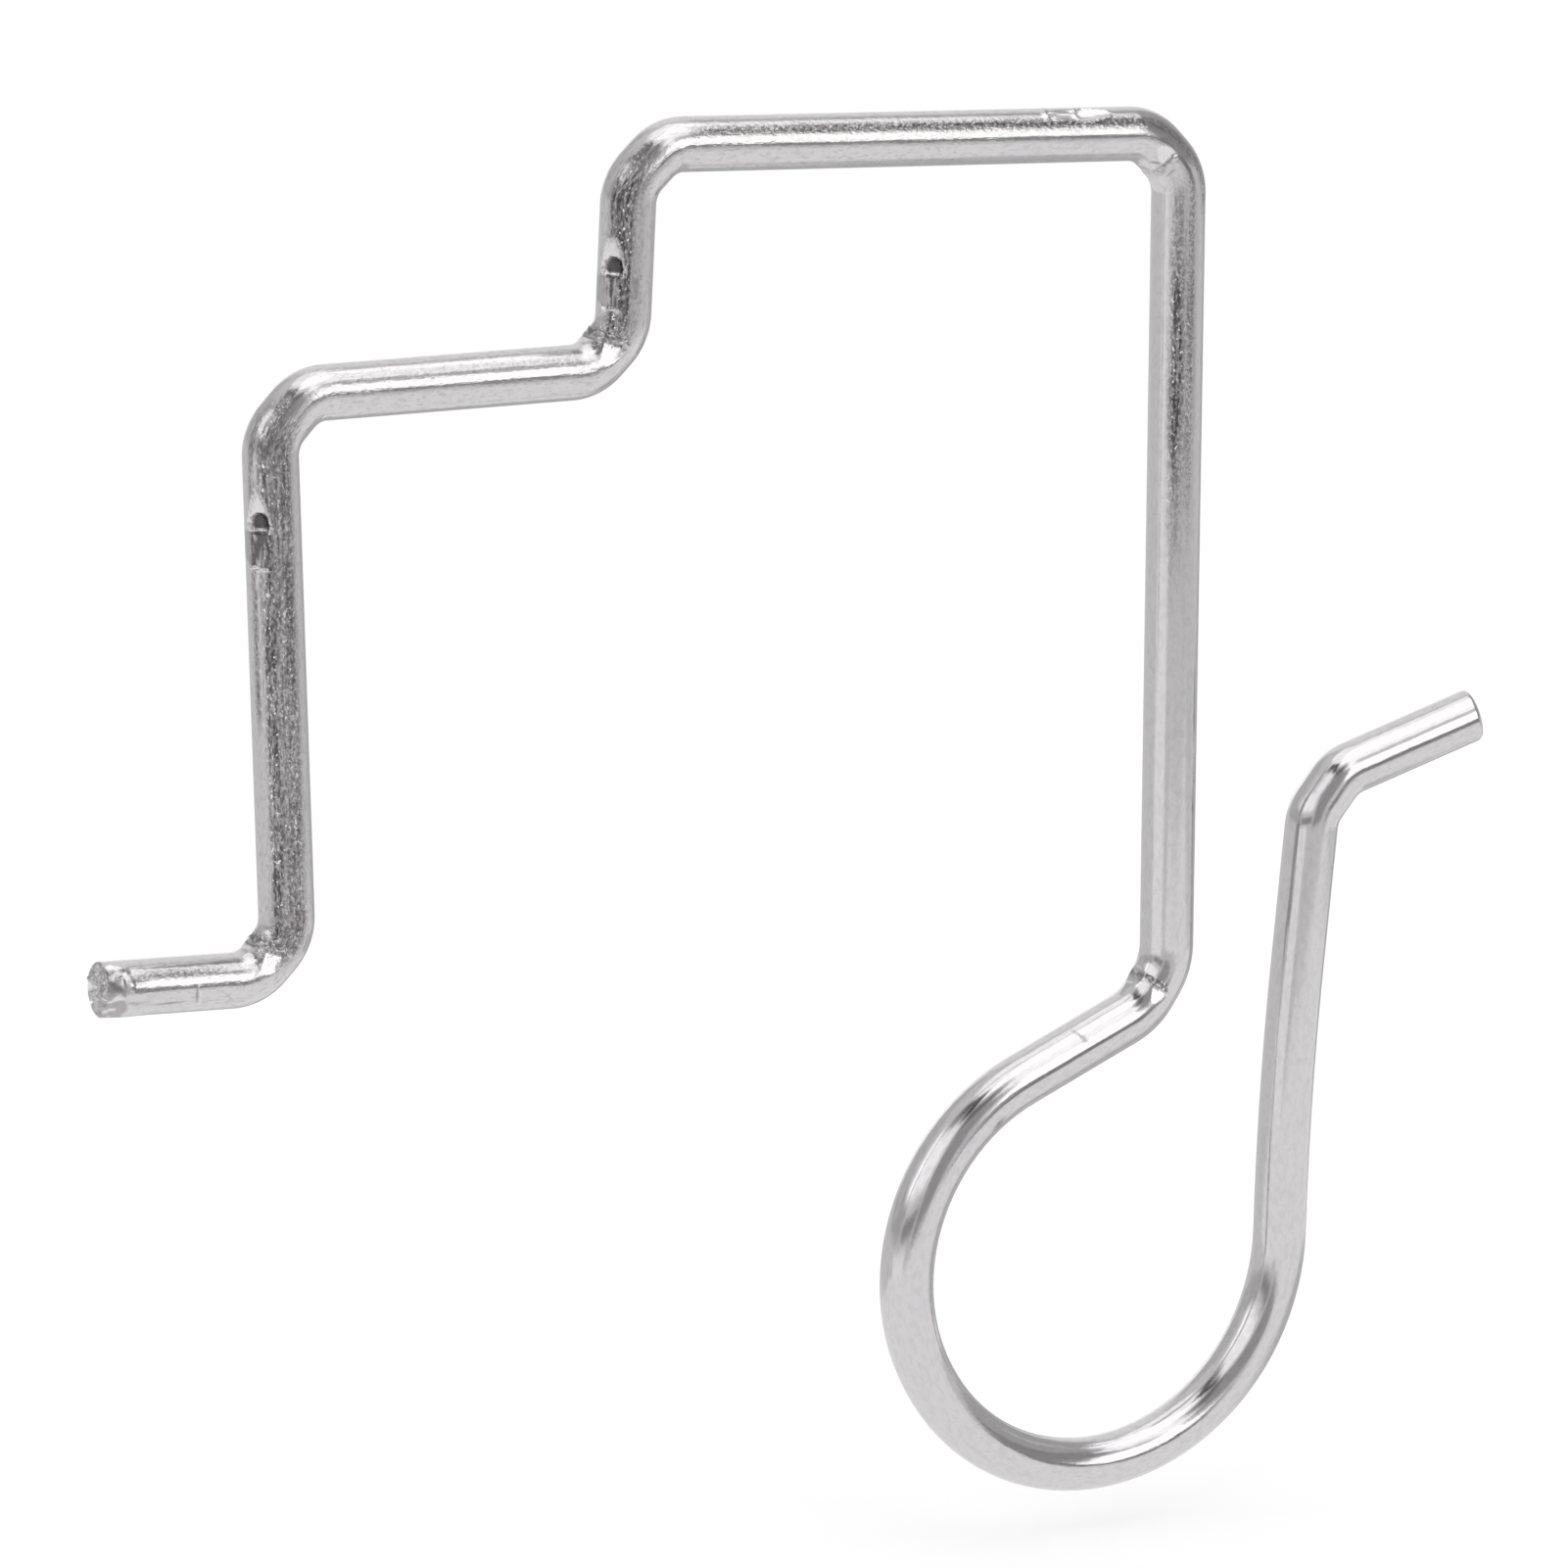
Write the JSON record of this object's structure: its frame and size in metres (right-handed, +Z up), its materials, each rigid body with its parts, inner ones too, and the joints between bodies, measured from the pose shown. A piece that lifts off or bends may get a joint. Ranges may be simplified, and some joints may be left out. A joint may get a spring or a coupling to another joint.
{
  "type": "gutter hook",
  "caption": "One bent round wire: a stepped top that sits over a gutter's lip, a short tail at the back, and a drop leg that ends in an open loop with a flared entry tip.",
  "frame": {"origin": "middle of the seat, on the underside of the top bar", "axes": "+Z up with the drop leg hanging plumb, +X across the gutter from its bed to its outer face, +Y across the wire"},
  "size_m": [0.1152, 0.004, 0.1067],
  "materials": {
    "stainless_wire": "bright drawn wire, grey with a slight warm tint"
  },
  "bodies": {
    "root": {"hook": "stainless_wire"}
  },
  "joints": []
}
